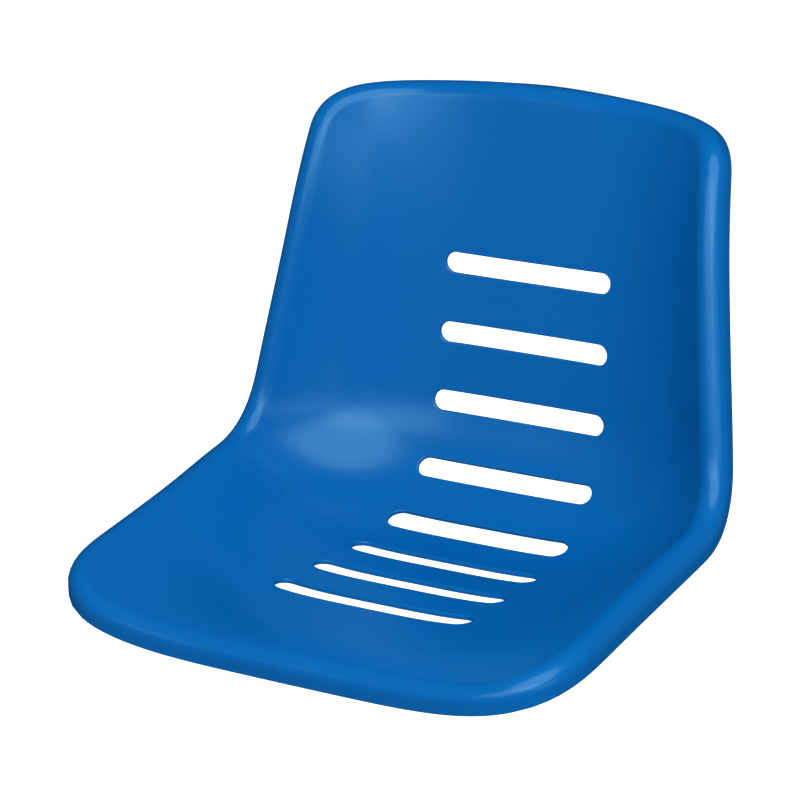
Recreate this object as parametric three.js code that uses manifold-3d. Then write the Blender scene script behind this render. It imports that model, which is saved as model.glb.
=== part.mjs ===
// Stadium seat: a one-piece moulded shell with a rolled rim and a ladder of drainage slots, held
// from below by four bolts that screw into captive threaded inserts. Millimetres and degrees.
// +Z is up and the sitter faces -Y. The origin is the middle of the four fixing points, on the
// plane of their faces, which is the plane that the seat rests on.

import * as THREE from 'three';
import { mergeVertices } from 'three/addons/utils/BufferGeometryUtils.js';
import Module from 'manifold-3d';

const wasm = await Module();
wasm.setup();

// Fixing points, and where the shell's front edge lies from their middle
const FIXING_SPACING_X = 260;
const FIXING_SPACING_Y = 220;
const FRONT_REACH = 201.9;
const FRONT_HEIGHT = 28;

// Shell, seen from the front and above, to the crest of its rim
const HIP_HALF_WIDTH = 204;
const TOP_HALF_WIDTH = 157;
const WALL = 4;

// Side view down the middle: the runs along the curve, and its slopes
const CENTRE_FRONT_RUN = 63;
const CENTRE_SEAT_RUN = 161;
const CENTRE_BEND_RUN = 204;
const CENTRE_BACK_RUN = 91;
const CENTRE_TOP_RUN = 146;
const FRONT_EDGE_DROOP = 11.5;
const SEAT_FALL = 2.8;
const BACK_RECLINE = 6.8;

// Side view of the raised edge: where it starts from the middle's front, its runs and slopes,
// and the stretches of it that the outline's rounded corners take
const EDGE_LEAD = 13;
const EDGE_LIFT = 24;
const EDGE_FRONT_RUN = 165;
const EDGE_SEAT_RUN = 85;
const EDGE_BEND_RUN = 91;
const EDGE_BACK_RUN = 112;
const EDGE_TOP_RUN = 163;
const EDGE_RISE = 6.2;
const EDGE_RECLINE = 10.8;
const EDGE_TOP_RECLINE = 29.5;
const FRONT_CORNER_LENGTH = 100;
const TOP_CORNER_LENGTH = 72;

// Rolled rim: the radius of its outer face, and the straight skirt below the roll
const RIM_RADIUS = 12.5;
const SKIRT = 9;

// Slots, counted from the front, with lengths and widths over their round ends
const SEAT_SLOT_COUNT = 4;
const BACK_SLOT_COUNT = 4;
const FIRST_SLOT_RUN = 116.5;
const SLOT_PITCH = 58.3;
const FIRST_SLOT_LENGTH = 173;
const LAST_SLOT_LENGTH = 150;
const SEAT_SLOT_WIDTH = 21.5;
const BACK_SLOT_WIDTH = 17;

// Ribs and bosses under the seat
const RIB_THICKNESS = 3.5;
const RIB_DEPTH = 14;
const BOSS_FACE_RADIUS = 13;
const BOSS_DRAFT = 1.5;
const GUSSET_ANGLE = 25;
const GUSSET_SETBACK = 4;

// Threaded insert for an M8 bolt, and the clearance of its pocket
const INSERT_LENGTH = 16;
const INSERT_RADIUS = 6;
const INSERT_GROOVE_WIDTH = 2.5;
const INSERT_GROOVE_DEPTH = 0.6;
const INSERT_FLANGE_RADIUS = 8;
const INSERT_FLANGE_THICKNESS = 1.5;
const THREAD_BORE_RADIUS = 3.4;
const THREAD_BORE_DEPTH = 12;
const POCKET_CLEARANCE = 0.3;

// Length by which a cutting or trimming body passes what it cuts
const OVERRUN = 20;

// Forms without a length: powers of the rounded outlines, and shares of the way to a limit
const DISH_POWER = 3.7;
const FRONT_CORNER_POWER = 4.5;
const TOP_CORNER_POWER = 2.5;
const TAPER_SHARES = [0, 0, 0, 0.26, 0.59, 1];
const BORE_TIP_SHARE = 0.5;
const DIFFERENCE_SHARE = 0.001;

// Fineness of the facets
const PROFILE_STEPS = 400;
const ROWS = 32;
const HALF_COLUMNS = 11;
const ROLL_STEPS = 3;
const ROUND_SEGMENTS = 20;
const SLOT_END_SEGMENTS = 4;

const { degToRad } = THREE.MathUtils;

// Smooth curve through values at evenly spaced shares, that never swings past them
function smoothThrough(values) {
  const spans = values.length - 1;
  const rises = values.slice(1).map((value, i) => value - values[i]);

  function endSlope(near, next) {
    const slope = (3 * near - next) / 2;
    if (slope * near <= 0) return 0;
    return near * next < 0 && Math.abs(slope) > Math.abs(3 * near) ? 3 * near : slope;
  }

  const slopes = values.map((_, i) => {
    if (i === 0) return endSlope(rises[0], rises[1]);
    if (i === spans) return endSlope(rises[spans - 1], rises[spans - 2]);
    const [before, after] = [rises[i - 1], rises[i]];
    return before * after > 0 ? (2 * before * after) / (before + after) : 0;
  });

  return (share) => {
    const place = THREE.MathUtils.clamp(share, 0, 1) * spans;
    const i = Math.min(Math.floor(place), spans - 1);
    const t = place - i;
    const bend = (slopes[i] + slopes[i + 1] - 2 * rises[i]) * t;
    const lean = 3 * rises[i] - 2 * slopes[i] - slopes[i + 1];
    return values[i] + t * (slopes[i] + t * (lean + bend));
  };
}

// Curve in the side view, from its runs and its directions at their ends, both front to top
function sideCurve(start, runs, directions) {
  const sums = runs.reduce((list, run) => [...list, list.at(-1) + run], [0]);
  const lengthAt = smoothThrough(sums);
  const directionAt = smoothThrough(directions.map(degToRad));
  const points = [start];
  for (let i = 0; i < PROFILE_STEPS; i += 1) {
    const step = lengthAt((i + 1) / PROFILE_STEPS) - lengthAt(i / PROFILE_STEPS);
    const direction = directionAt((i + 0.5) / PROFILE_STEPS);
    const move = new THREE.Vector2(Math.cos(direction), Math.sin(direction));
    points.push(points[i].clone().addScaledVector(move, step));
  }

  function pointAt(share) {
    const place = share * PROFILE_STEPS;
    const i = THREE.MathUtils.clamp(Math.floor(place), 0, PROFILE_STEPS - 1);
    return points[i].clone().lerp(points[i + 1], place - i);
  }

  function shareAt(length) {
    let [low, high] = [0, 1];
    while (high - low > 1 / PROFILE_STEPS ** 2) {
      const middle = (low + high) / 2;
      if (lengthAt(middle) < length) low = middle;
      else high = middle;
    }
    return (low + high) / 2;
  }

  return { pointAt, directionAt, shareAt, length: sums.at(-1) };
}

const frontEdge = new THREE.Vector2(-FRONT_REACH, FRONT_HEIGHT);
const upright = 90;
const centreCurve = sideCurve(
  frontEdge,
  [CENTRE_FRONT_RUN, CENTRE_SEAT_RUN, CENTRE_BEND_RUN, CENTRE_BACK_RUN, CENTRE_TOP_RUN],
  [
    FRONT_EDGE_DROOP, -SEAT_FALL, -SEAT_FALL,
    upright - BACK_RECLINE, upright - BACK_RECLINE, upright - BACK_RECLINE,
  ],
);
const edgeCurve = sideCurve(
  frontEdge.clone().add(new THREE.Vector2(-EDGE_LEAD, EDGE_LIFT)),
  [EDGE_FRONT_RUN, EDGE_SEAT_RUN, EDGE_BEND_RUN, EDGE_BACK_RUN, EDGE_TOP_RUN],
  [
    EDGE_RISE, EDGE_RISE, EDGE_RISE,
    upright - EDGE_RECLINE, upright - EDGE_RECLINE, upright - EDGE_TOP_RECLINE,
  ],
);
const halfWidthAt = smoothThrough(
  TAPER_SHARES.map((share) => THREE.MathUtils.lerp(HIP_HALF_WIDTH, TOP_HALF_WIDTH, share)),
);

// Sitting surface: side runs from -1 to 1 across it, share from 0 at the front to 1 at the top
function surfacePoint(side, share) {
  const dish = Math.abs(side) ** DISH_POWER;
  const place = centreCurve.pointAt(share).lerp(edgeCurve.pointAt(share), dish);
  return new THREE.Vector3(side * halfWidthAt(share), place.x, place.y);
}

function surfaceNormal(side, share) {
  const step = DIFFERENCE_SHARE;
  const across = surfacePoint(side + step, share).sub(surfacePoint(side - step, share));
  const along = surfacePoint(side, share + step).sub(surfacePoint(side, share - step));
  return across.cross(along).normalize();
}

// The way the rim's skirt points at a place, square to the seat's or the back's general line
function skirtDirection(side, share) {
  const weight = Math.abs(side);
  const [middle, edge] = [centreCurve.directionAt(share), edgeCurve.directionAt(share)];
  const direction = THREE.MathUtils.lerp(middle, edge, weight);
  return new THREE.Vector3(0, Math.sin(direction), -Math.cos(direction));
}

// Share by which a rounded corner sets the outline back at this side
function cornerInset(side, share, power) {
  return share * (1 - (1 - Math.abs(side) ** power) ** (1 / power));
}

// Columns lie close together towards the sides, where the shell curves up and its corners turn
const columnSides = [];
for (let j = -HALF_COLUMNS; j <= HALF_COLUMNS; j += 1) {
  const turn = (Math.abs(j) / HALF_COLUMNS) * (Math.PI / 2);
  columnSides.push(Math.sign(j) * Math.sin(turn) ** (2 / FRONT_CORNER_POWER));
}
const rowShares = [];
for (let i = 0; i <= ROWS; i += 1) {
  rowShares.push(centreCurve.shareAt((i / ROWS) * centreCurve.length));
}
const frontCornerShare = edgeCurve.shareAt(FRONT_CORNER_LENGTH);
const topCornerShare = 1 - edgeCurve.shareAt(edgeCurve.length - TOP_CORNER_LENGTH);

// The sitting surface's mesh points, row by row from the front, with their normals
const surface = rowShares.flatMap((rowShare) => columnSides.map((side) => {
  const front = cornerInset(side, frontCornerShare, FRONT_CORNER_POWER);
  const top = cornerInset(side, topCornerShare, TOP_CORNER_POWER);
  const share = front + (1 - front - top) * rowShare;
  const skirt = skirtDirection(side, share);
  return { point: surfacePoint(side, share), normal: surfaceNormal(side, share), skirt };
}));

// Indices of the outline's points, once round: front, right side, top, left side
const rowLength = columnSides.length;
const outline = [];
for (let j = 0; j < rowLength - 1; j += 1) outline.push(j);
for (let i = 0; i < ROWS; i += 1) outline.push(i * rowLength + rowLength - 1);
for (let j = rowLength - 1; j > 0; j -= 1) outline.push(ROWS * rowLength + j);
for (let i = ROWS; i > 0; i -= 1) outline.push(i * rowLength);

// The rim's frame at each outline point: the way out, and the angle through which it rolls
const rim = outline.map((index, k) => {
  const { point, normal, skirt } = surface[index];
  const before = surface[outline.at(k - 1)].point;
  const after = surface[outline[(k + 1) % outline.length]].point;
  const tangent = point.clone().sub(before).divideScalar(point.distanceToSquared(before));
  tangent.add(after.clone().sub(point).divideScalar(after.distanceToSquared(point)));
  const outward = tangent.cross(normal).normalize();
  const endTurn = Math.atan2(-skirt.dot(normal), skirt.dot(outward));
  return { point, normal, outward, endTurn };
});

// One ring of rim points: part of the way round the roll, under the skin by depth, then down
function rimRing(turnShare, depth, drop) {
  return rim.map(({ point, normal, outward, endTurn }) => {
    const turn = endTurn * turnShare;
    const [sine, cosine] = [Math.sin(turn), Math.cos(turn)];
    return point.clone()
      .addScaledVector(normal, (RIM_RADIUS - depth) * cosine - RIM_RADIUS - drop * sine)
      .addScaledVector(outward, (RIM_RADIUS - depth) * sine + drop * cosine);
  });
}

function solidFrom(geometry) {
  const bare = geometry.clone();
  bare.deleteAttribute('normal');
  bare.deleteAttribute('uv');
  const merged = mergeVertices(bare);
  return new wasm.Manifold(new wasm.Mesh({
    numProp: 3,
    vertProperties: new Float32Array(merged.attributes.position.array),
    triVerts: new Uint32Array(merged.index.array),
  }));
}

function geometryFrom(solid) {
  const { vertProperties, triVerts } = solid.getMesh();
  const geometry = new THREE.BufferGeometry();
  geometry.setAttribute('position', new THREE.Float32BufferAttribute(vertProperties, 3));
  geometry.setIndex(new THREE.Uint32BufferAttribute(triVerts, 1));
  geometry.computeVertexNormals();
  return geometry;
}

// Closed body between the skin at one depth and the skin at another, joined round the outline
// by rings of points that run from the upper skin's edge to the lower one's
function layer(topDepth, bottomDepth, rings) {
  const points = surface.map(({ point, normal }) => point.clone().addScaledVector(normal, -topDepth));
  const loops = [outline];
  rings.forEach((ring) => {
    loops.push(ring.map((_, k) => points.length + k));
    points.push(...ring);
  });
  const bottomStart = points.length;
  loops.push(outline.map((index) => bottomStart + index));
  surface.forEach(({ point, normal }) => {
    points.push(point.clone().addScaledVector(normal, -bottomDepth));
  });

  const triangles = [];
  for (let i = 0; i < ROWS; i += 1) {
    for (let j = 0; j < rowLength - 1; j += 1) {
      const a = i * rowLength + j;
      const [b, c, d] = [a + 1, a + rowLength + 1, a + rowLength];
      triangles.push(a, b, c, a, c, d);
      const [e, f, g, h] = [a, b, c, d].map((index) => bottomStart + index);
      triangles.push(e, g, f, e, h, g);
    }
  }
  for (let r = 0; r < loops.length - 1; r += 1) {
    outline.forEach((_, k) => {
      const next = (k + 1) % outline.length;
      const [a, b] = [loops[r][k], loops[r][next]];
      const [c, d] = [loops[r + 1][next], loops[r + 1][k]];
      triangles.push(a, d, c, a, c, b);
    });
  }

  const geometry = new THREE.BufferGeometry().setFromPoints(points);
  geometry.setIndex(triangles);
  return solidFrom(geometry);
}

function rollRings(depth) {
  const rings = [];
  for (let i = 1; i <= ROLL_STEPS; i += 1) rings.push(rimRing(i / ROLL_STEPS, depth, 0));
  return rings;
}

// The wall itself, with its rolled rim and skirt
function makeWall() {
  return layer(0, WALL, [
    ...rollRings(0),
    rimRing(1, 0, SKIRT),
    rimRing(1, WALL, SKIRT),
    ...rollRings(WALL).reverse(),
  ]);
}

// The space under the middle of the wall down to a depth, closed by the roll of the rim: a plate
// or boss trimmed to it fuses with the wall and never shows above the seat
function spaceUnder(depth) {
  return layer(WALL / 2, depth, rollRings(WALL / 2));
}

// Upright plate that stands across X or Y, from an outline in its own plane
function plate(corners, thickness, normalAxis, offset) {
  const shape = new THREE.Shape(corners.map(([along, height]) => new THREE.Vector2(along, height)));
  const geometry = new THREE.ExtrudeGeometry(shape, { depth: thickness, bevelEnabled: false });
  geometry.translate(0, 0, -thickness / 2);
  geometry.rotateX(Math.PI / 2);
  if (normalAxis === 'x') geometry.rotateZ(Math.PI / 2);
  geometry.translate(normalAxis === 'x' ? offset : 0, normalAxis === 'y' ? offset : 0, 0);
  return solidFrom(geometry);
}

const fixings = [
  ['front_left', 1, -1],
  ['front_right', -1, -1],
  ['rear_left', 1, 1],
  ['rear_right', -1, 1],
].map(([place, sideSign, endSign]) => ({
  place,
  x: (sideSign * FIXING_SPACING_X) / 2,
  y: (endSign * FIXING_SPACING_Y) / 2,
}));

// How far the plates and bosses reach before they are trimmed to the space under the wall
const seatTop = FRONT_HEIGHT + EDGE_LIFT + OVERRUN;
const widest = HIP_HALF_WIDTH + RIM_RADIUS + OVERRUN;
const foremost = -FRONT_REACH - EDGE_LEAD - OVERRUN;

// Two long ribs run from the front roll over the front bosses to the rear ones
function makeLongRibs() {
  return [-FIXING_SPACING_X / 2, FIXING_SPACING_X / 2].map((x) => plate([
    [foremost, -OVERRUN],
    [FIXING_SPACING_Y / 2, -OVERRUN],
    [FIXING_SPACING_Y / 2, seatTop],
    [foremost, seatTop],
  ], RIB_THICKNESS, 'x', x));
}

// A cross rib joins the front bosses and both side rolls, and a short one on each side ties the
// long rib to the roll at the middle of the seat
function makeCrossRibs() {
  const [inner, outer] = [FIXING_SPACING_X / 2, widest];
  const block = (from, to, y) => plate(
    [[from, -OVERRUN], [to, -OVERRUN], [to, seatTop], [from, seatTop]],
    RIB_THICKNESS,
    'y',
    y,
  );
  return [
    block(-outer, outer, -FIXING_SPACING_Y / 2),
    block(-outer, -inner, 0),
    block(inner, outer, 0),
  ];
}

// Boss under each fixing point, a drafted round post with two crossed gussets
function makeBosses() {
  const lean = Math.tan(degToRad(BOSS_DRAFT));
  const spread = Math.tan(degToRad(GUSSET_ANGLE)) * (seatTop - GUSSET_SETBACK);
  return fixings.flatMap(({ x, y }) => {
    const post = new THREE.LatheGeometry([
      new THREE.Vector2(0, 0),
      new THREE.Vector2(BOSS_FACE_RADIUS, 0),
      new THREE.Vector2(BOSS_FACE_RADIUS + lean * seatTop, seatTop),
      new THREE.Vector2(0, seatTop),
    ], ROUND_SEGMENTS);
    post.rotateX(Math.PI / 2);
    post.translate(x, y, 0);
    const gusset = (normalAxis, along, offset) => plate([
      [along - BOSS_FACE_RADIUS, GUSSET_SETBACK],
      [along + BOSS_FACE_RADIUS, GUSSET_SETBACK],
      [along + BOSS_FACE_RADIUS + spread, seatTop],
      [along - BOSS_FACE_RADIUS - spread, seatTop],
    ], RIB_THICKNESS, normalAxis, offset);
    return [solidFrom(post), gusset('x', y, x), gusset('y', x, y)];
  });
}

// Cutting bodies of the slots, each square to the wall at its own middle
function makeSlotCutters() {
  const count = SEAT_SLOT_COUNT + BACK_SLOT_COUNT;
  const cutters = [];
  for (let i = 0; i < count; i += 1) {
    const share = centreCurve.shareAt(FIRST_SLOT_RUN + i * SLOT_PITCH);
    const length = THREE.MathUtils.lerp(FIRST_SLOT_LENGTH, LAST_SLOT_LENGTH, i / (count - 1));
    const radius = (i < SEAT_SLOT_COUNT ? SEAT_SLOT_WIDTH : BACK_SLOT_WIDTH) / 2;
    const shape = new THREE.Shape();
    shape.absarc(length / 2 - radius, 0, radius, -Math.PI / 2, Math.PI / 2);
    shape.absarc(radius - length / 2, 0, radius, Math.PI / 2, (3 * Math.PI) / 2);
    const depth = WALL + 2 * OVERRUN;
    const geometry = new THREE.ExtrudeGeometry(shape, {
      depth, bevelEnabled: false, curveSegments: SLOT_END_SEGMENTS,
    });
    geometry.translate(0, 0, -WALL - OVERRUN);
    const normal = surfaceNormal(0, share);
    const across = new THREE.Vector3(1, 0, 0);
    const along = normal.clone().cross(across);
    geometry.applyMatrix4(new THREE.Matrix4().makeBasis(across, along, normal));
    geometry.translate(...surfacePoint(0, share));
    cutters.push(solidFrom(geometry));
  }
  return cutters;
}

// Stepped pocket in a boss, which an insert fills but for its clearance
function makePocketCutter({ x, y }) {
  const flangeRadius = INSERT_FLANGE_RADIUS + POCKET_CLEARANCE;
  const bodyRadius = INSERT_RADIUS + POCKET_CLEARANCE;
  const geometry = new THREE.LatheGeometry([
    new THREE.Vector2(0, -OVERRUN),
    new THREE.Vector2(flangeRadius, -OVERRUN),
    new THREE.Vector2(flangeRadius, INSERT_FLANGE_THICKNESS + POCKET_CLEARANCE),
    new THREE.Vector2(bodyRadius, INSERT_FLANGE_THICKNESS + POCKET_CLEARANCE),
    new THREE.Vector2(bodyRadius, INSERT_LENGTH + POCKET_CLEARANCE),
    new THREE.Vector2(0, INSERT_LENGTH + POCKET_CLEARANCE),
  ], ROUND_SEGMENTS);
  geometry.rotateX(Math.PI / 2);
  geometry.translate(x, y, 0);
  return solidFrom(geometry);
}

function makeShell() {
  const shallow = spaceUnder(RIB_DEPTH);
  const deep = spaceUnder(seatTop);
  const ribs = [...makeLongRibs(), ...makeCrossRibs()].map((rib) => rib.intersect(shallow));
  const bosses = makeBosses().map((boss) => boss.intersect(deep));
  let shell = makeWall();
  [...ribs, ...bosses].forEach((piece) => { shell = shell.add(piece); });
  [...makeSlotCutters(), ...fixings.map(makePocketCutter)].forEach((cutter) => {
    shell = shell.subtract(cutter);
  });
  return geometryFrom(shell);
}

// Brass insert with a flange, a gripping groove and a blind M8 bore that opens downwards
function makeInsert() {
  const grooveStart = (INSERT_LENGTH + INSERT_FLANGE_THICKNESS - INSERT_GROOVE_WIDTH) / 2;
  const grooveRadius = INSERT_RADIUS - INSERT_GROOVE_DEPTH;
  const geometry = new THREE.LatheGeometry([
    new THREE.Vector2(0, THREAD_BORE_DEPTH + BORE_TIP_SHARE * THREAD_BORE_RADIUS),
    new THREE.Vector2(THREAD_BORE_RADIUS, THREAD_BORE_DEPTH),
    new THREE.Vector2(THREAD_BORE_RADIUS, 0),
    new THREE.Vector2(INSERT_FLANGE_RADIUS, 0),
    new THREE.Vector2(INSERT_FLANGE_RADIUS, INSERT_FLANGE_THICKNESS),
    new THREE.Vector2(INSERT_RADIUS, INSERT_FLANGE_THICKNESS),
    new THREE.Vector2(INSERT_RADIUS, grooveStart),
    new THREE.Vector2(grooveRadius, grooveStart + INSERT_GROOVE_DEPTH),
    new THREE.Vector2(grooveRadius, grooveStart + INSERT_GROOVE_WIDTH - INSERT_GROOVE_DEPTH),
    new THREE.Vector2(INSERT_RADIUS, grooveStart + INSERT_GROOVE_WIDTH),
    new THREE.Vector2(INSERT_RADIUS, INSERT_LENGTH),
    new THREE.Vector2(0, INSERT_LENGTH),
  ], ROUND_SEGMENTS);
  geometry.rotateX(Math.PI / 2);
  return geometryFrom(solidFrom(geometry));
}

const seat = new THREE.Group();

function addPiece(name, geometry, material) {
  const mesh = new THREE.Mesh(geometry, material);
  mesh.name = name;
  seat.add(mesh);
  return mesh;
}

addPiece('seat_shell', makeShell(), new THREE.MeshStandardMaterial({
  color: 0x0063ae, roughness: 0.38, metalness: 0,
}));
fixings.forEach(({ place, x, y }) => {
  const insert = addPiece(`threaded_insert_${place}`, makeInsert(), new THREE.MeshStandardMaterial({
    color: 0xb59a5b, roughness: 0.35, metalness: 1,
  }));
  insert.position.set(x, y, 0);
});

export default seat;
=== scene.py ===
# Stadium seat, dressed: a one-piece moulded shell with its rolled rim, its slots, its ribs and
# bosses underneath, and the four brass inserts that its bolts screw into, in soft studio light.
# The seat's sizes are in millimetres and degrees, and each of its meshes is brought to metres as it
# is made. The studio's sizes are in metres.

import bpy
import numpy as np
from mathutils import Matrix, Vector


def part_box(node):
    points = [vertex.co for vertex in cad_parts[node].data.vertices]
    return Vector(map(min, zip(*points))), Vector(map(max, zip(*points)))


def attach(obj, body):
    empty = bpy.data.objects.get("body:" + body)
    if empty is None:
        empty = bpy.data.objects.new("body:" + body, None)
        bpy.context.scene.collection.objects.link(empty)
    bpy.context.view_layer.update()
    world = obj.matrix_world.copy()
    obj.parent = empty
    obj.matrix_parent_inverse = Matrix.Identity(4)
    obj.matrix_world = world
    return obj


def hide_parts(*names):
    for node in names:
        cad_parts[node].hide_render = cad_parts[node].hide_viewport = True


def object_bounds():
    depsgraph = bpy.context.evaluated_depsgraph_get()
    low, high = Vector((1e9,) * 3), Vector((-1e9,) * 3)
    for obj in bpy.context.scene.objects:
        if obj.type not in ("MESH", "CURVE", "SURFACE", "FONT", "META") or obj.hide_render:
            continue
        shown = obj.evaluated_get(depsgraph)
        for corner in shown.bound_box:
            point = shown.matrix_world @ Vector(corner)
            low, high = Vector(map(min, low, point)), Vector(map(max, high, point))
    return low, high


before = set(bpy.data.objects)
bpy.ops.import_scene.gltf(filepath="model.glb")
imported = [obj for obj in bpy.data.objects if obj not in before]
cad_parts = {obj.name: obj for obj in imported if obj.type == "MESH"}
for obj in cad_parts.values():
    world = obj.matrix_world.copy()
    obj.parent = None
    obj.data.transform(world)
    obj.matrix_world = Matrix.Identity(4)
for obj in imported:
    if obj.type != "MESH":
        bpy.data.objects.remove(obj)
solid_low, solid_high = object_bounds()


# Shell wall: seat and back in one sheet of blue polypropylene, injected between two steel mould
# halves. Its sides are dished, it bends up into the back, its edge rolls over all round into a
# short skirt, and eight round-ended slots let rain through.
WALL = 4.0
HIP_HALF_WIDTH = 204.0
TOP_HALF_WIDTH = 157.0
TAPER_SHARES = [0, 0, 0, 0.26, 0.59, 1]
DISH_POWER = 3.7
CENTRE_START = (-201.9, 28.0)
CENTRE_RUNS = [63, 161, 204, 91, 146]
CENTRE_SLOPES = [11.5, -2.8, -2.8, 83.2, 83.2, 83.2]
EDGE_START = (-214.9, 52.0)
EDGE_RUNS = [165, 85, 91, 112, 163]
EDGE_SLOPES = [6.2, 6.2, 6.2, 79.2, 79.2, 60.5]
FRONT_CORNER_RUN = 100.0
FRONT_CORNER_POWER = 4.5
TOP_CORNER_RUN = 72.0
TOP_CORNER_POWER = 2.5
RIM_RADIUS = 12.5
SKIRT = 9.0
SKIRT_ROUNDING = 1.2
SLOT_COUNT = 8
SLOT_PITCH = 58.3
SLOT_RUNS = 116.5 + SLOT_PITCH * np.arange(SLOT_COUNT)
SLOT_LENGTHS = np.linspace(173, 150, SLOT_COUNT)
SLOT_WIDTHS = np.repeat([21.5, 17.0], SLOT_COUNT // 2)
UPPER_LIP = 1.2
LOWER_LIP = 0.8
LIP_BORDER = 0.4

# How finely the wall is divided: steps along a side line, rows from the front edge to the top,
# columns from side to side, rings over the rim, down the skirt and back up, steps round a slot at
# which its straight sides begin and end, and rings that blend a slot with its block of the grid
LINE_STEPS = 2000
FRONT_ROWS, PAN_ROWS, SLOT_ROWS, GAP_ROWS, BACK_ROWS, TOP_ROWS = 14, 19, 10, 5, 14, 16
RIM_COLUMNS, SIDE_COLUMNS, SLOT_COLUMNS = 8, 18, 52
COLUMN_STOPS = [-1, -0.9, -0.5, 0.5, 0.9, 1]
BLOCK_HALF_HEIGHT = SLOT_PITCH / 3
ROLL_RINGS, UNDER_ROLL_RINGS = 16, 10
SKIRT_OUTER_RINGS, SKIRT_INNER_RING = [2.5, 5.0], 4.0
SLOT_CORNERS = [0, 5, 47, 67, 109, 124]
BLEND_RINGS = 5


def smooth_through(values):
    """Smooth curve through values at evenly spaced shares of the way, which never swings past
    them: in each span a cubic, with the harmonic mean of two rises as the slope between them."""
    values = np.asarray(values, float)
    rises = np.diff(values)
    product = rises[:-1] * rises[1:]
    total = np.where(product > 0, rises[:-1] + rises[1:], 1)
    inner = np.where(product > 0, 2 * product / total, 0)
    near, far = rises[[0, -1]], rises[[1, -2]]
    ends = (3 * near - far) / 2
    ends = np.where(ends * near <= 0, 0, ends)
    ends = np.where((near * far < 0) & (np.abs(ends) > np.abs(3 * near)), 3 * near, ends)
    slopes = np.concatenate([ends[:1], inner, ends[1:]])

    def value_at(share):
        place = np.clip(share, 0, 1) * len(rises)
        span = np.minimum(place.astype(int), len(rises) - 1)
        t = place - span
        bend = (slopes[span] + slopes[span + 1] - 2 * rises[span]) * t
        lean = 3 * rises[span] - 2 * slopes[span] - slopes[span + 1]
        return values[span] + t * (slopes[span] + t * (lean + bend))

    return value_at


def side_line(start, runs, slopes):
    """Curve in the side view: the run along it and its slope are smooth in the share of the way
    from front to top, and its place is the sum of small steps, each in the slope's direction."""
    run_at = smooth_through(np.concatenate([[0], np.cumsum(runs)]))
    slope_at = smooth_through(np.radians(slopes))
    shares = np.linspace(0, 1, LINE_STEPS + 1)
    halfway = slope_at((shares[1:] + shares[:-1]) / 2)
    steps = np.diff(run_at(shares))[:, None] * np.stack([np.cos(halfway), np.sin(halfway)], 1)
    places = np.concatenate([[start], start + np.cumsum(steps, 0)])

    def place_at(share):
        return np.stack([np.interp(share, shares, places[:, k]) for k in (0, 1)], -1)

    def share_at(run):
        return np.interp(run, run_at(shares), shares)

    return place_at, slope_at, run_at, share_at


centre_place, centre_slope, centre_run, centre_share = side_line(
    CENTRE_START, CENTRE_RUNS, CENTRE_SLOPES)
edge_place, edge_slope, _, edge_share = side_line(EDGE_START, EDGE_RUNS, EDGE_SLOPES)
half_width = smooth_through(
    HIP_HALF_WIDTH + (TOP_HALF_WIDTH - HIP_HALF_WIDTH) * np.array(TAPER_SHARES))
front_share = edge_share(FRONT_CORNER_RUN)
top_share = 1 - edge_share(sum(EDGE_RUNS) - TOP_CORNER_RUN)


def sitting_face(side, share):
    """Place on the sitting face: across, the side from -1 to 1 times the half width; in the side
    view, the centre line's place moved towards the edge line's by |side| to the dish's power."""
    side, share = np.broadcast_arrays(side, share)
    dish = np.abs(side)[..., None] ** DISH_POWER
    profile = centre_place(share) * (1 - dish) + edge_place(share) * dish
    return np.concatenate([(side * half_width(share))[..., None], profile], -1)


def face_normal(side, share, step=0.001):
    """Unit normal of the sitting face: small difference across it, crossed with one along it."""
    across = sitting_face(side + step, share) - sitting_face(side - step, share)
    along = sitting_face(side, share + step) - sitting_face(side, share - step)
    normal = np.cross(across, along)
    return normal / np.linalg.norm(normal, axis=-1, keepdims=True)


def under_face(side, share, depth):
    """Place at a depth under the sitting face, measured along its normal."""
    return sitting_face(side, share) - face_normal(side, share) * np.asarray(depth)[..., None]


def even_steps(stops, counts):
    """Values from the first stop to the last, with a number of equal steps in each stretch."""
    places = np.concatenate([[0], np.cumsum(counts)])
    return np.interp(np.arange(places[-1] + 1), places, stops)


def rounded_grid(across, along):
    """Side and share of a grid whose border is the rounded outline. Along goes from -1 at the
    front edge through 0 and 1, where the corners end and begin, to 2 at the top. In a corner of
    power p, side = across (1 - f^p / 2)^(1/p) and setback = f (1 - |across|^p / 2)^(1/p), with f
    from 0 to 1 through the corner, so that side^p + setback^p = 1 on the border."""
    p, q = FRONT_CORNER_POWER, TOP_CORNER_POWER
    front, top = np.clip(-along, 0, 1), np.clip(along - 1, 0, 1)
    side = across * (1 - front ** p / 2) ** (1 / p) * (1 - top ** q / 2) ** (1 / q)
    share = front_share * (1 - front * (1 - np.abs(across) ** p / 2) ** (1 / p))
    share = share + (1 - front_share - top_share) * np.clip(along, 0, 1)
    return side, share + top_share * top * (1 - np.abs(across) ** q / 2) ** (1 / q)


def ring_quads(loops):
    """Quads between closed loops of point numbers, each loop joined to the next one."""
    near, far = loops[:-1], loops[1:]
    return np.stack([near, far, np.roll(far, -1, 1), np.roll(near, -1, 1)], -1).reshape(-1, 4)


def grid_quads(numbers):
    """Quads of a grid of point numbers, wound so that across crossed with along is outwards."""
    return np.stack([numbers[:-1, :-1], numbers[:-1, 1:], numbers[1:, 1:], numbers[1:, :-1]], -1)


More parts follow.
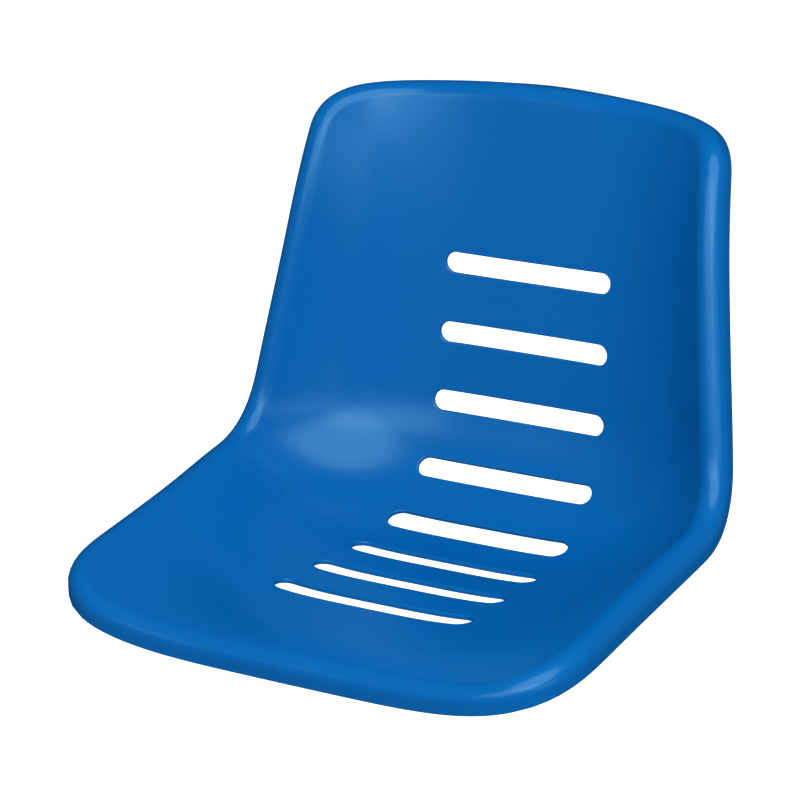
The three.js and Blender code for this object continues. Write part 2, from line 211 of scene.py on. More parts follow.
def make_piece(name, points, faces, material):
    """Mesh object from points in millimetres and faces, without the points that no face uses.
    Its place is in its mesh, its shading is smooth, and the object sits at the origin."""
    used, numbers = np.unique(np.concatenate([np.ravel(part) for part in faces]),
                              return_inverse=True)
    sizes = np.concatenate([np.full(len(part), part.shape[1]) for part in faces])
    starts = np.concatenate([[0], np.cumsum(sizes)[:-1]])
    mesh = bpy.data.meshes.new(name)
    mesh.vertices.add(len(used))
    mesh.vertices.foreach_set("co", (points[used] / 1000).ravel())
    mesh.loops.add(len(numbers))
    mesh.loops.foreach_set("vertex_index", numbers.ravel().astype(np.int32))
    mesh.polygons.add(len(sizes))
    mesh.polygons.foreach_set("loop_start", starts.astype(np.int32))
    mesh.update(calc_edges=True)
    mesh.validate()
    mesh.shade_smooth()
    mesh.materials.append(material)
    piece = bpy.data.objects.new(name, mesh)
    bpy.context.scene.collection.objects.link(piece)
    return piece


def outline_of(grid):
    """Border of a grid once round: front, right side, top, left side."""
    return np.concatenate([grid[0, :-1], grid[:-1, -1], grid[-1, :0:-1], grid[:0:-1, 0]])


columns = even_steps(
    COLUMN_STOPS, [RIM_COLUMNS, SIDE_COLUMNS, SLOT_COLUMNS, SIDE_COLUMNS, RIM_COLUMNS])
block_edges = np.ravel(SLOT_RUNS[:, None] + [-BLOCK_HALF_HEIGHT, BLOCK_HALF_HEIGHT])
row_runs = even_steps(
    np.concatenate([[centre_run(front_share)], block_edges, [centre_run(1 - top_share)]]),
    [PAN_ROWS] + [SLOT_ROWS, GAP_ROWS] * (SLOT_COUNT - 1) + [SLOT_ROWS, BACK_ROWS])
row_places = (centre_share(row_runs) - front_share) / (1 - front_share - top_share)
rows = np.concatenate([
    even_steps([-1, 0], [FRONT_ROWS])[:-1], row_places, even_steps([1, 2], [TOP_ROWS])[1:]])
first_rows = FRONT_ROWS + PAN_ROWS + (SLOT_ROWS + GAP_ROWS) * np.arange(SLOT_COUNT)
left_column = RIM_COLUMNS + SIDE_COLUMNS
right_column = left_column + SLOT_COLUMNS
sides, shares = rounded_grid(columns[None, :], rows[:, None])
upper_points = sitting_face(sides, shares)
lower_points = under_face(sides, shares, WALL)

rim_sides, rim_shares = outline_of(sides), outline_of(shares)
rim_points, rim_normals = outline_of(upper_points), face_normal(rim_sides, rim_shares)
back_step = rim_points - np.roll(rim_points, 1, 0)
fore_step = np.roll(rim_points, -1, 0) - rim_points
tangents = (back_step / (back_step ** 2).sum(1, keepdims=True)
            + fore_step / (fore_step ** 2).sum(1, keepdims=True))
rim_outwards = np.cross(tangents, rim_normals)
rim_outwards /= np.linalg.norm(rim_outwards, axis=1, keepdims=True)
lean = (centre_slope(rim_shares) * (1 - np.abs(rim_sides))
        + edge_slope(rim_shares) * np.abs(rim_sides))
skirt_ways = np.stack([np.zeros_like(lean), np.sin(lean), -np.cos(lean)], 1)
end_turns = np.arctan2(-(skirt_ways * rim_normals).sum(1), (skirt_ways * rim_outwards).sum(1))


def rim_rings(turn_share, depth, drop):
    """Rings of the rolled rim: a circle arc over the outline through a share of its whole turn,
    at a depth under its skin, then straight on by the drop, for one ring or an array of them."""
    turn = np.asarray(turn_share, float)[..., None] * end_turns
    depth, drop = np.asarray(depth, float)[..., None], np.asarray(drop, float)[..., None]
    up = (RIM_RADIUS - depth) * np.cos(turn) - RIM_RADIUS - drop * np.sin(turn)
    out = (RIM_RADIUS - depth) * np.sin(turn) + drop * np.cos(turn)
    return rim_points + up[..., None] * rim_normals + out[..., None] * rim_outwards


quarter = np.radians([0, 30, 60, 90])
straight_end = SKIRT - SKIRT_ROUNDING

# Rings of the skirt, as depths under its outer skin and drops past the roll: down the outside,
# round the lip with its two rounded edges, and up the inside
skirt_depths = np.concatenate([
    [0, 0, 0, 0], SKIRT_ROUNDING * (1 - np.cos(quarter[1:])),
    WALL - SKIRT_ROUNDING * (1 - np.sin(quarter)), [WALL, WALL, WALL]])
skirt_drops = np.concatenate([
    SKIRT_OUTER_RINGS, [straight_end - LIP_BORDER, straight_end],
    straight_end + SKIRT_ROUNDING * np.sin(quarter[1:]),
    straight_end + SKIRT_ROUNDING * np.cos(quarter),
    [straight_end - LIP_BORDER, SKIRT_INNER_RING, 0]])
over_roll = np.arange(1, ROLL_RINGS + 1) / ROLL_RINGS
back_under_roll = np.arange(UNDER_ROLL_RINGS - 1, 0, -1) / UNDER_ROLL_RINGS
rim_skin = np.concatenate([
    rim_rings(over_roll, 0, 0), rim_rings(1, skirt_depths, skirt_drops),
    rim_rings(back_under_roll, WALL, 0)])

# Steps once round a slot from the front left corner of its block: the turn of the arc in degrees,
# and its slide from the slot's left end at -1 to the right end at 1
slot_steps = np.arange(SLOT_CORNERS[-1])
slot_turns = np.radians(np.interp(slot_steps, SLOT_CORNERS, [225, 270, 270, 450, 450, 585]))
slot_slides = np.interp(slot_steps, SLOT_CORNERS, [-1, -1, 1, 1, -1, -1])


def slot_rings(middle, length, width, block):
    """Rings from the block's border on the sitting face to the slot, through it with rounded
    lips, and back to the border underneath. A slot's outline is a circle arc slid along a line;
    a ring is the outline with a margin, blended with the border, at a depth under the face."""
    margins = np.concatenate([
        [UPPER_LIP + LIP_BORDER] * BLEND_RINGS, UPPER_LIP * (1 - np.sin(quarter)),
        LOWER_LIP * (1 - np.cos(quarter)), [LOWER_LIP + LIP_BORDER] * BLEND_RINGS])[:, None]
    depths = np.concatenate([
        [0] * BLEND_RINGS, UPPER_LIP * (1 - np.cos(quarter)),
        WALL - LOWER_LIP * (1 - np.sin(quarter)), [WALL] * BLEND_RINGS])[:, None]
    rise = np.arange(1, BLEND_RINGS + 1) / BLEND_RINGS
    blends = np.concatenate([rise, np.ones(2 * len(quarter)), rise[::-1]])[:, None]
    radii = width / 2 + margins
    x = slot_slides * (length - width) / 2 + radii * np.cos(slot_turns)
    run = middle + radii * np.sin(slot_turns)
    x = blends * x + (1 - blends) * block[:, 0]
    share = centre_share(blends * run + (1 - blends) * block[:, 1])
    return under_face(x / half_width(share), share, depths)


upper_numbers = np.arange(sides.size).reshape(sides.shape)
lower_numbers = upper_numbers + sides.size
rim_numbers = 2 * sides.size + np.arange(rim_skin[..., 0].size).reshape(rim_skin.shape[:2])
kept = np.ones((len(rows) - 1, len(columns) - 1), bool)
shell_points = [upper_points.reshape(-1, 3), lower_points.reshape(-1, 3), rim_skin.reshape(-1, 3)]
rim_loops = np.concatenate([
    [outline_of(upper_numbers)], rim_numbers, [outline_of(lower_numbers)]])
shell_faces = [ring_quads(rim_loops)]
grid_x = sides * half_width(shares)
grid_runs = centre_run(shares)
for slot, first_row in enumerate(first_rows):
    block = np.s_[first_row:first_row + SLOT_ROWS + 1, left_column:right_column + 1]
    kept[first_row:first_row + SLOT_ROWS, left_column:right_column] = False
    border = np.stack([outline_of(grid_x[block]), outline_of(grid_runs[block])], 1)
    rings = slot_rings(SLOT_RUNS[slot], SLOT_LENGTHS[slot], SLOT_WIDTHS[slot], border)
    start = sum(len(part) for part in shell_points)
    numbers = start + np.arange(rings[..., 0].size).reshape(rings.shape[:2])
    shell_points.append(rings.reshape(-1, 3))
    slot_loops = np.concatenate([
        [outline_of(upper_numbers[block])], numbers, [outline_of(lower_numbers[block])]])
    shell_faces.append(ring_quads(slot_loops[:, ::-1]))
shell_faces.append(grid_quads(upper_numbers)[kept])
shell_faces.append(grid_quads(lower_numbers)[kept][:, ::-1])


def blue_plastic():
    """Satin polypropylene: a fine etched grain in the bump, and faint clouds in the roughness and
    in the colour, which the melt leaves as it flows and cools. Its highlights are bluish."""
    material = bpy.data.materials.new("blue_polypropylene")
    material.use_nodes = True
    nodes, links = material.node_tree.nodes, material.node_tree.links
    shader = nodes["Principled BSDF"]
    shader.inputs["IOR"].default_value = 1.49
    shader.inputs["Specular Tint"].default_value = (0.43, 0.89, 1.0, 1)
    place = nodes.new("ShaderNodeTexCoord")
    cloud = nodes.new("ShaderNodeTexNoise")
    cloud.inputs["Scale"].default_value = 9
    cloud.inputs["Detail"].default_value = 4
    links.new(place.outputs["Object"], cloud.inputs["Vector"])
    colour = nodes.new("ShaderNodeMix")
    colour.data_type = "RGBA"
    colour.inputs["A"].default_value = (0.0, 0.090, 0.310, 1)
    colour.inputs["B"].default_value = (0.0, 0.096, 0.324, 1)
    links.new(cloud.outputs["Fac"], colour.inputs["Factor"])
    links.new(colour.outputs["Result"], shader.inputs["Base Color"])
    dullness = nodes.new("ShaderNodeMapRange")
    dullness.inputs["To Min"].default_value = 0.21
    dullness.inputs["To Max"].default_value = 0.27
    links.new(cloud.outputs["Fac"], dullness.inputs["Value"])
    links.new(dullness.outputs["Result"], shader.inputs["Roughness"])
    grain = nodes.new("ShaderNodeTexNoise")
    grain.inputs["Scale"].default_value = 1400
    grain.inputs["Detail"].default_value = 2
    links.new(place.outputs["Object"], grain.inputs["Vector"])
    bump = nodes.new("ShaderNodeBump")
    bump.inputs["Strength"].default_value = 0.12
    bump.inputs["Distance"].default_value = 0.0001
    links.new(grain.outputs["Fac"], bump.inputs["Height"])
    links.new(bump.outputs["Normal"], shader.inputs["Normal"])
    return material


polypropylene = blue_plastic()
shell_wall = make_piece("shell_wall", np.concatenate(shell_points), shell_faces, polypropylene)
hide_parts("seat_shell")
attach(shell_wall, "root")


# Ribs under the seat, moulded in one with the shell: two long ones from the front roll to the rear
# bosses, one right across under the front bosses, and a short one each side. They taper to their
# free edge so that the mould lets go of them, and their roots flow into the wall.
RIB_THICKNESS = 3.5
RIB_DEPTH = 14.0
RIB_TAPER = 0.18
RIB_ROOT = 1.5
RIB_EDGE_ROUNDING = 0.6
SHORT_RIB_Y = 0.0
SHORT_RIB_OVERLAP = 1.0
LONG_RIB_SETBACK = 4.0
LONG_RIB_ROWS, SIDE_RIB_ROWS = 110, 100
ROLL_SHARES = np.linspace(0.06, 0.94, 12)
SHARP_ANGLE = 40.0

insert_names = [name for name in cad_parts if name.startswith("threaded_insert")]
insert_boxes = {name: np.array(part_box(name)) * 1000 for name in insert_names}
boss_places = {name: box.mean(0)[:2] for name, box in insert_boxes.items()}
boss_x, boss_y = np.abs(list(boss_places.values())).max(0)

rib_root = np.concatenate([[0], WALL / 2 + RIB_ROOT * (1 - np.cos(quarter))])
rib_edge = RIB_EDGE_ROUNDING * (1 - np.sin(quarter))
rib_half = np.concatenate([
    [RIB_THICKNESS / 2 + RIB_ROOT], RIB_THICKNESS / 2 + RIB_ROOT * (1 - np.sin(quarter)),
    RIB_THICKNESS / 2 - RIB_TAPER - RIB_EDGE_ROUNDING * (1 - np.cos(quarter))])
rib_offsets = np.concatenate([rib_half, -rib_half[::-1]])


def crossings(curves, axis, places):
    """Points at which curves cross planes square to an axis: each curve is a row of points whose
    coordinate along the axis rises, and the crossing lies on the straight step between two."""
    return np.array([
        [np.interp(places, curve[:, axis], curve[:, k]) for k in range(3)] for curve in curves
    ]).transpose(0, 2, 1)


def upright_plate(roots, edges):
    """Closed plate between a root line in the wall and a free edge, both given for each place of
    the profile across it: stations by profile by 3. Near the root and the edge the profile keeps
    its own lengths, so that they flow alike everywhere, and is straight between them."""
    middle = len(rib_half) - 1
    length = np.linalg.norm(edges[:, middle] - roots[:, middle], axis=1)[:, None]
    near_root = rib_root / np.maximum(length, 2 * rib_root[-1])
    near_edge = 1 - rib_edge / np.maximum(length, 2 * rib_edge[0])
    half = np.concatenate([near_root, near_edge], 1)
    way = np.concatenate([half, half[:, ::-1]], 1)[..., None]
    return roots * (1 - way) + edges * way


def plate_faces(stations, around):
    """Quads round a plate whose first and last stations are closed by a face of their own."""
    numbers = np.arange(stations * around).reshape(stations, around)
    return ring_quads(numbers), numbers[:1], numbers[-1:, ::-1]


def outward(points, faces):
    """Faces turned so that they point outwards, which the sign of the volume that they hold
    tells: the sum over triangles of one corner, dotted with the cross product of the others."""
    volume = 0.0
    for part in faces:
        for k in range(1, part.shape[1] - 1):
            corners = points[part[:, 0]], points[part[:, k]], points[part[:, k + 1]]
            volume += (corners[0] * np.cross(corners[1], corners[2])).sum()
    return faces if volume > 0 else [part[:, ::-1] for part in faces]


def join_plates(name, plates, material):
    """One mesh object from several closed plates, each turned outwards, with crisp ends."""
    points, faces, start = [], [], 0
    for plate in plates:
        flat = plate.reshape(-1, 3)
        own = outward(flat - flat.mean(0), plate_faces(*plate.shape[:2]))
        faces += [part + start for part in own]
        points.append(flat)
        start += len(flat)
    piece = make_piece(name, np.concatenate(points), faces, material)
    piece.data.set_sharp_from_angle(angle=np.radians(SHARP_ANGLE))
    return piece


# Root lines lie in the wall's middle and go on in the roll. Free edges lie at the ribs' depth and
# go on from there to the roll's end.
root_face = under_face(sides, shares, WALL / 2)
edge_face = under_face(sides, shares, RIB_DEPTH)
root_roll = rim_rings(ROLL_SHARES, WALL / 2, 0)
back_share = ROLL_SHARES[:, None, None]
edge_roll = outline_of(edge_face) * (1 - back_share) + rim_rings(1, WALL / 2, 0) * back_share
last_column = len(columns) - 1
front_part = np.s_[:last_column + 1]
right_part = np.s_[last_column:last_column + SIDE_RIB_ROWS]


def long_rib(x):
    """Rib in the plane of one x, from the front roll to the rear boss: its root line runs along
    the wall's middle and its free edge at the rib's depth under the sitting face."""
    places = x + rib_offsets
    roots = crossings(np.concatenate([
        root_roll[::-1][:, front_part], root_face[:LONG_RIB_ROWS]]), 0, places)
    edges = crossings(np.concatenate([
        edge_roll[::-1][:, front_part], edge_face[:LONG_RIB_ROWS]]), 0, places)
    reach = roots[:, 0, 1] < boss_y - LONG_RIB_SETBACK
    return upright_plate(roots[reach], edges[reach])


def side_rib(y, inner_x):
    """Right half of a rib in the plane of one y, from inner_x out to the side's roll. Its first
    station lies at inner_x, on the straight step between the two stations beside it."""
    places = y + rib_offsets
    roots = crossings(np.concatenate([
        root_face[:SIDE_RIB_ROWS].transpose(1, 0, 2), root_roll[:, right_part]]), 1, places)
    edges = crossings(np.concatenate([
        edge_face[:SIDE_RIB_ROWS].transpose(1, 0, 2), edge_roll[:, right_part]]), 1, places)
    first = np.argmax(roots[:, 0, 0] > inner_x) - 1
    step = (inner_x - roots[first, 0, 0]) / (roots[first + 1, 0, 0] - roots[first, 0, 0])
    roots[first] += step * (roots[first + 1] - roots[first])
    edges[first] += step * (edges[first + 1] - edges[first])
    return upright_plate(roots[first:], edges[first:])


mirror = np.array([-1, 1, 1])
short_rib = side_rib(SHORT_RIB_Y, boss_x - SHORT_RIB_OVERLAP)
half_cross_rib = side_rib(-boss_y, 0)
cross_rib = np.concatenate([half_cross_rib[:0:-1] * mirror, half_cross_rib])
ribs = [long_rib(-boss_x), long_rib(boss_x), short_rib, short_rib * mirror, cross_rib]
shell_ribs = join_plates("shell_ribs", ribs, polypropylene)
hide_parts("seat_shell")
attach(shell_ribs, "root")


# Bosses that the seat rests and is bolted on, moulded in one with the shell: round posts with a
# slight draft, a stepped pocket for the insert, a foot that flows into the wall, and four gussets
# in line with the ribs that carry a sitter's load out into the shell.
BOSS_RADIUS = 13.0
BOSS_DRAFT = 1.5
BOSS_ROOT = 2.5
BOSS_FACE_ROUNDING = 0.5
POCKET_CLEARANCE = 0.3
GUSSET_ANGLE = 25.0
GUSSET_SETBACK = 4.0
GUSSET_TOP = 72.0
GUSSET_THICKENING = 1.06
FLANGE_THICKNESS = 1.5
BODY_RADIUS = 6.0

# How the posts and gussets are divided: points round a post, the small steps that keep its corners
# crisp, rings of its foot, and stations of a gusset, whose wall is looked for out to a reach
POST_POINTS = 48
POST_CENTRE_RADIUS = 0.5
CORNER_STEP, MOUTH_CHAMFER = 0.2, 0.3
DRAFT_HEIGHT = 30.0
FOOT_RINGS = [6.0, 2.0]
FOOT_CAP_MARGIN = -13.5
GUSSET_STATIONS, GUSSET_REACH, REACH_STEPS = 14, 60.0, 240
SEARCH_START, SEARCH_STEP, SEARCH_TURNS = 0.3, 0.002, 60
LOWEST_RATE, LONGEST_MOVE = 150.0, 0.03


def wall_height(x, y, depth):
    """Height of the wall at a depth under the sitting face, above places x and y: side and share
    move by the misses in x and y, over their own rates, until the place under the face fits."""
    side = x / HIP_HALF_WIDTH
    share = np.full(np.shape(x), SEARCH_START)
    for _ in range(SEARCH_TURNS):
        place = under_face(side, share, depth)
        ahead = under_face(side, share + SEARCH_STEP, depth)
        rate = np.maximum((ahead - place)[..., 1] / SEARCH_STEP, LOWEST_RATE)
        side = side + (x - place[..., 0]) / half_width(share)
        share = share + np.clip((y - place[..., 1]) / rate, -LONGEST_MOVE, LONGEST_MOVE)
    return under_face(side, share, depth)[..., 2]


def boss_post(middle, flange_radius, insert_length):
    """Closed post turned about the boss's axis: pocket, face, drafted side, then a foot whose
    rings follow the wall's under face, and a cap inside the wall. Rings by angle by 3."""
    angles = np.linspace(0, 2 * np.pi, POST_POINTS, endpoint=False)
    body = BODY_RADIUS + POCKET_CLEARANCE
    mouth = flange_radius + POCKET_CLEARANCE
    step = FLANGE_THICKNESS + POCKET_CLEARANCE
    top = insert_length + POCKET_CLEARANCE
    rounding = BOSS_FACE_ROUNDING
    low_radii = np.concatenate([
        [POST_CENTRE_RADIUS, body - CORNER_STEP, body, body],
        [mouth - CORNER_STEP, mouth, mouth, mouth + MOUTH_CHAMFER],
        BOSS_RADIUS - rounding + rounding * np.sin(quarter)])
    low_heights = np.concatenate([
        [top, top, top - CORNER_STEP, step],
        [step, step - CORNER_STEP, MOUTH_CHAMFER, 0],
        rounding * (1 - np.cos(quarter))])
    low = np.stack(np.broadcast_arrays(
        middle[0] + low_radii[:, None] * np.cos(angles),
        middle[1] + low_radii[:, None] * np.sin(angles), low_heights[:, None]), -1)
    turn = quarter[::-1]
    foot_margins = np.concatenate([
        [0, 0], BOSS_ROOT * (1 - np.sin(turn)), [BOSS_ROOT, FOOT_CAP_MARGIN]])
    foot_drops = np.concatenate([
        BOSS_ROOT + np.array(FOOT_RINGS), BOSS_ROOT * (1 - np.cos(turn)), [0, 0]])
    foot_depths = np.array([WALL] * 6 + [WALL / 2] * 2)
    radii = BOSS_RADIUS + np.tan(np.radians(BOSS_DRAFT)) * DRAFT_HEIGHT + foot_margins
    x = middle[0] + radii[:, None] * np.cos(angles)
    y = middle[1] + radii[:, None] * np.sin(angles)
    heights = wall_height(x, y, foot_depths[:, None]) - foot_drops[:, None]
    return np.concatenate([low, np.stack([x, y, heights], -1)])


def gusset(middle, way):
    """Plate from the boss's axis out along a way: its root line runs in the wall's middle out to
    where the slanted free edge meets it, or to the gusset's top, and the edge leans outwards."""
    way = np.array(way, float)
    cross = np.array([-way[1], way[0]])
    lean = np.tan(np.radians(GUSSET_ANGLE))
    reach = np.linspace(0, GUSSET_REACH, REACH_STEPS + 1)
    line = middle + reach[:, None] * way
    heights = wall_height(line[:, 0], line[:, 1], WALL / 2)
    slant = GUSSET_SETBACK + (reach - BOSS_RADIUS) / lean
    meeting = reach[np.argmax((slant > heights) | (heights > GUSSET_TOP))]
    root_reach = np.linspace(0, meeting, GUSSET_STATIONS)
    tip = min(np.interp(meeting, reach, heights), GUSSET_TOP)
    edge_z = np.linspace(GUSSET_SETBACK, tip, GUSSET_STATIONS)
    edge_reach = BOSS_RADIUS + lean * (edge_z - GUSSET_SETBACK)
    offsets = (rib_offsets * GUSSET_THICKENING)[None, :, None] * cross
    root_xy = middle + root_reach[:, None, None] * way + offsets
    root_z = wall_height(root_xy[..., 0], root_xy[..., 1], WALL / 2)
    edge_xy = middle + edge_reach[:, None, None] * way + offsets
    edge_heights = np.broadcast_to(edge_z[:, None, None], root_z.shape + (1,))
    roots = np.concatenate([root_xy, root_z[..., None]], -1)
    edges = np.concatenate([edge_xy, edge_heights], -1)
    return upright_plate(roots, edges)


flange_radius = max(np.ptp(box[:, 0]) for box in insert_boxes.values()) / 2
insert_length = max(box[1, 2] for box in insert_boxes.values())
boss_plates = []
for middle in boss_places.values():
    boss_plates.append(boss_post(middle, flange_radius, insert_length))
    boss_plates += [gusset(middle, way) for way in [(1, 0), (-1, 0), (0, 1), (0, -1)]]
shell_bosses = join_plates("shell_bosses", boss_plates, polypropylene)
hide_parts("seat_shell")
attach(shell_bosses, "root")


# Threaded inserts: turned and knurled brass nuts with a flange, moulded into the bosses. Each has
# a gripping groove round its body and a blind M8 thread, which opens downwards for the bolt that
# holds the seat to its beam.
THREAD_PITCH = 1.25
THREAD_CREST_RADIUS = 3.35
THREAD_ROOT_RADIUS = 3.95
THREAD_END = 12.0
BORE_TIP = 13.7
MOUTH_RADIUS = 4.5
FLANGE_ROUNDING = 0.3
GROOVE_RADIUS = 5.4
GROOVE_START = 7.5
GROOVE_END = 10.0
KNURL_DEPTH = 0.25
KNURL_TEETH = 24
KNURL_LEAN = 0.04
THREAD_STEEPNESS, THREAD_FLAT = 1.3, 0.15
AXIS_RADIUS = 0.1
SMALL_STEP = 0.1
BODY_CHAMFER = 0.3
BODY_CHAMFER_HEIGHT = 0.4
GROOVE_SLOPE = 0.6
INSERT_POINTS, THREAD_STATIONS, BODY_STATIONS = 96, 96, 15


def turned_insert(flange_radius, length):
    """Skin of an insert about its own axis, as stations by angle by 3, and the run along its
    profile. The stations run up the drilled tip, down the thread to the mouth, over the flange
    and up the body. The thread is a clipped triangle wave of height over pitch plus the turn; the
    knurl is the larger of two waves that wind round the body in opposite ways."""
    angles = np.linspace(0, 2 * np.pi, INSERT_POINTS, endpoint=False)
    thread = np.linspace(THREAD_END, SMALL_STEP, THREAD_STATIONS)
    low_body = np.linspace(FLANGE_THICKNESS + BODY_CHAMFER, GROOVE_START, BODY_STATIONS)
    high_body = np.linspace(GROOVE_END, length - BODY_CHAMFER_HEIGHT, BODY_STATIONS)
    corner = FLANGE_ROUNDING * np.stack([np.sin(quarter), 1 - np.cos(quarter)])
    bore_radii = [[AXIS_RADIUS], np.full(1 + THREAD_STATIONS, THREAD_CREST_RADIUS)]
    flange_radii = [
        [MOUTH_RADIUS, MOUTH_RADIUS + SMALL_STEP], flange_radius - FLANGE_ROUNDING + corner[0],
        [flange_radius, flange_radius - CORNER_STEP, BODY_RADIUS + SMALL_STEP]]
    body_radii = [
        np.full(BODY_STATIONS, BODY_RADIUS), [GROOVE_RADIUS, GROOVE_RADIUS],
        np.full(BODY_STATIONS, BODY_RADIUS), [BODY_RADIUS - BODY_CHAMFER, AXIS_RADIUS]]
    radii = np.concatenate(bore_radii + flange_radii + body_radii)
    bore_heights = [[BORE_TIP, THREAD_END + SMALL_STEP / 2], thread]
    flange_heights = [
        [0, 0], corner[1], [FLANGE_THICKNESS - CORNER_STEP, FLANGE_THICKNESS, FLANGE_THICKNESS]]
    body_heights = [
        low_body, [GROOVE_START + GROOVE_SLOPE, GROOVE_END - GROOVE_SLOPE],
        high_body, [length, length]]
    heights = np.concatenate(bore_heights + flange_heights + body_heights)
    turns = angles / (2 * np.pi)
    wave = 2 * np.abs((thread[:, None] / THREAD_PITCH + turns) % 1 - 0.5)
    run_out = np.clip(THREAD_END - thread, 0, 1)[:, None]
    cut = np.clip(THREAD_STEEPNESS * wave - THREAD_FLAT, 0, 1) * run_out
    skin = np.tile(radii[:, None], (1, INSERT_POINTS))
    threaded = THREAD_CREST_RADIUS + (THREAD_ROOT_RADIUS - THREAD_CREST_RADIUS) * cut
    skin[2:2 + THREAD_STATIONS] = np.maximum(threaded, (MOUTH_RADIUS - thread)[:, None])
    low_first = sum(len(part) for part in bore_radii + flange_radii)
    high_first = low_first + BODY_STATIONS + 2
    for first, body in ((low_first, low_body), (high_first, high_body)):
        wind = np.abs(np.sin(np.pi * KNURL_TEETH * (turns - KNURL_LEAN * body[:, None])))
        other = np.abs(np.sin(np.pi * KNURL_TEETH * (turns + KNURL_LEAN * body[:, None])))
        skin[first:first + BODY_STATIONS] -= KNURL_DEPTH * np.maximum(wind, other)
    z = np.broadcast_to(heights[:, None], skin.shape)
    run = np.concatenate([[0], np.cumsum(np.hypot(np.diff(radii), np.diff(heights)))])
    return np.stack([skin * np.cos(angles), skin * np.sin(angles), z], -1), run


def turned_brass():
    """Plain turned brass: fine lathe rings that follow the run along the profile, and patches
    that handling and air have dulled, so that it mirrors less than bare metal does."""
    material = bpy.data.materials.new("turned_brass")
    material.use_nodes = True
    nodes, links = material.node_tree.nodes, material.node_tree.links
    shader = nodes["Principled BSDF"]
    shader.inputs["Metallic"].default_value = 0.65
    place = nodes.new("ShaderNodeTexCoord")
    patches = nodes.new("ShaderNodeTexNoise")
    patches.inputs["Scale"].default_value = 350
    patches.inputs["Detail"].default_value = 5
    links.new(place.outputs["Object"], patches.inputs["Vector"])
    tarnish = nodes.new("ShaderNodeMix")
    tarnish.data_type = "RGBA"
    tarnish.inputs["A"].default_value = (0.86, 0.66, 0.30, 1)
    tarnish.inputs["B"].default_value = (0.68, 0.48, 0.19, 1)
    links.new(patches.outputs["Fac"], tarnish.inputs["Factor"])
    links.new(tarnish.outputs["Result"], shader.inputs["Base Color"])
    dullness = nodes.new("ShaderNodeMapRange")
    dullness.inputs["To Min"].default_value = 0.28
    dullness.inputs["To Max"].default_value = 0.45
    links.new(patches.outputs["Fac"], dullness.inputs["Value"])
    links.new(dullness.outputs["Result"], shader.inputs["Roughness"])
    run = nodes.new("ShaderNodeAttribute")
    run.attribute_name = "profile_run"
    rings = nodes.new("ShaderNodeTexNoise")
    rings.noise_dimensions = "1D"
    rings.inputs["Scale"].default_value = 9
    links.new(run.outputs["Fac"], rings.inputs["W"])
    bump = nodes.new("ShaderNodeBump")
    bump.inputs["Strength"].default_value = 0.35
    bump.inputs["Distance"].default_value = 0.00005
    links.new(rings.outputs["Fac"], bump.inputs["Height"])
    links.new(bump.outputs["Normal"], shader.inputs["Normal"])
    return material


brass = turned_brass()
insert_skin, profile_run = turned_insert(flange_radius, insert_length)
insert_points = insert_skin.reshape(-1, 3)
insert_faces = outward(insert_points, plate_faces(*insert_skin.shape[:2]))
for node, middle in boss_places.items():
    place = node.removeprefix("threaded_insert_")
    insert = make_piece(f"brass_insert_{place}", insert_points + [*middle, 0], insert_faces, brass)
    runs = insert.data.attributes.new("profile_run", "FLOAT", "POINT")
    runs.data.foreach_set("value", np.repeat(profile_run, INSERT_POINTS))
    insert.data.set_sharp_from_angle(angle=np.radians(SHARP_ANGLE))
    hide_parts(node)
    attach(insert, "root")


# Floor of the studio: one pale sheet that glows evenly, so that it stays white up to the edge of
# the view. It lies well below the seat, which is held free as on its beam, and it throws neither
# light nor a reflection on the seat.
FLOOR_DROP = 0.43
FLOOR_REACH = 30.0

floor_material = bpy.data.materials.new("pale_floor")
floor_material.use_nodes = True
floor_shader = floor_material.node_tree.nodes["Principled BSDF"]
floor_shader.inputs["Base Color"].default_value = (0.88, 0.88, 0.88, 1)
floor_shader.inputs["Roughness"].default_value = 0.9
floor_shader.inputs["Emission Color"].default_value = (1, 1, 1, 1)
floor_shader.inputs["Emission Strength"].default_value = 0.6
floor_mesh = bpy.data.meshes.new("floor")
floor_mesh.from_pydata([
    (-FLOOR_REACH, -FLOOR_REACH, -FLOOR_DROP), (FLOOR_REACH, -FLOOR_REACH, -FLOOR_DROP),
    (FLOOR_REACH, FLOOR_REACH, -FLOOR_DROP), (-FLOOR_REACH, FLOOR_REACH, -FLOOR_DROP),
], [], [(0, 1, 2, 3)])
floor_mesh.materials.append(floor_material)
floor = bpy.data.objects.new("floor", floor_mesh)
bpy.context.scene.collection.objects.link(floor)
floor.visible_glossy = False
floor.visible_diffuse = False


# Camera, and the light of a plain photo studio: an even white surround that lights softly from
# everywhere and isn't mirrored, a large soft box in front and above, a low one in front and a weak
# one at the side, which draw the rim and the bend, and two that only light, high up and behind.
CAMERA_AZIMUTH = 29.331
CAMERA_ELEVATION = 17.8413
CAMERA_DISTANCE = 2.32818
CAMERA_AIM = Vector((0.02883, -0.0909, 0.19713))
CAMERA_LENS = 140.2
SENSOR_WIDTH = 36
LAMP_DISTANCE = 2.6


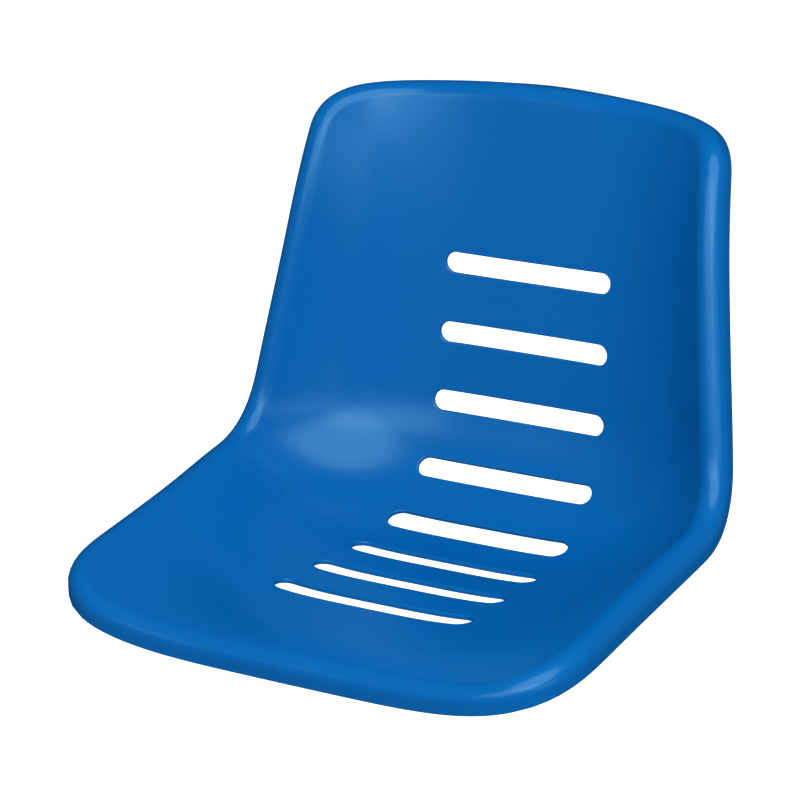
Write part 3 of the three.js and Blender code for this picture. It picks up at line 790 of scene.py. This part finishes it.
def direction(azimuth, elevation):
    """Unit vector towards an azimuth, counted from the seat's front round to its left hand side,
    and an elevation above the floor."""
    a, e = np.radians([azimuth, elevation])
    return Vector((np.sin(a) * np.cos(e), -np.cos(a) * np.cos(e), np.sin(e)))


def facing(place, aim):
    """Matrix of an object at a place whose own -Z axis points to the aim, with +Y upwards."""
    back = (place - aim).normalized()
    right = Vector((0, 0, 1)).cross(back).normalized()
    turn = Matrix([right, back.cross(right), back]).transposed()
    return Matrix.Translation(place) @ turn.to_4x4()


camera_data = bpy.data.cameras.new("camera")
camera_data.sensor_width = SENSOR_WIDTH
camera_data.lens = CAMERA_LENS
camera = bpy.data.objects.new("camera", camera_data)
bpy.context.scene.collection.objects.link(camera)
camera.matrix_world = facing(
    CAMERA_AIM + CAMERA_DISTANCE * direction(CAMERA_AZIMUTH, CAMERA_ELEVATION), CAMERA_AIM)
bpy.context.scene.camera = camera


def soft_box(name, shape, azimuth, elevation, width, height, watts, mirrored=True):
    """Area lamp of a size in metres that faces the seat from a direction. One that isn't mirrored
    lights the seat and leaves no highlight on it."""
    lamp = bpy.data.lights.new(name, "AREA")
    lamp.shape = shape
    lamp.size = width
    lamp.size_y = height
    lamp.energy = watts
    box = bpy.data.objects.new(name, lamp)
    bpy.context.scene.collection.objects.link(box)
    middle = (solid_low + solid_high) / 2
    box.matrix_world = facing(middle + LAMP_DISTANCE * direction(azimuth, elevation), middle)
    box.visible_camera = False
    box.visible_glossy = mirrored


soft_box("key_box", "ELLIPSE", 38, 45, 3.3, 3.1, 68)
soft_box("front_box", "RECTANGLE", 12, 19, 3.4, 1.0, 24)
soft_box("side_box", "RECTANGLE", 60, 3, 1.5, 0.6, 4)
soft_box("fill_box", "RECTANGLE", 85, 55, 2.0, 1.6, 10, mirrored=False)
soft_box("back_box", "RECTANGLE", 172, 2, 2.6, 0.8, 22, mirrored=False)

world = bpy.data.worlds.new("studio")
world.use_nodes = True
surround = world.node_tree.nodes["Background"]
surround.inputs["Color"].default_value = (1, 1, 1, 1)
surround.inputs["Strength"].default_value = 0.6
bpy.context.scene.world = world
world.cycles_visibility.glossy = False
bpy.context.scene.view_settings.view_transform = "Standard"
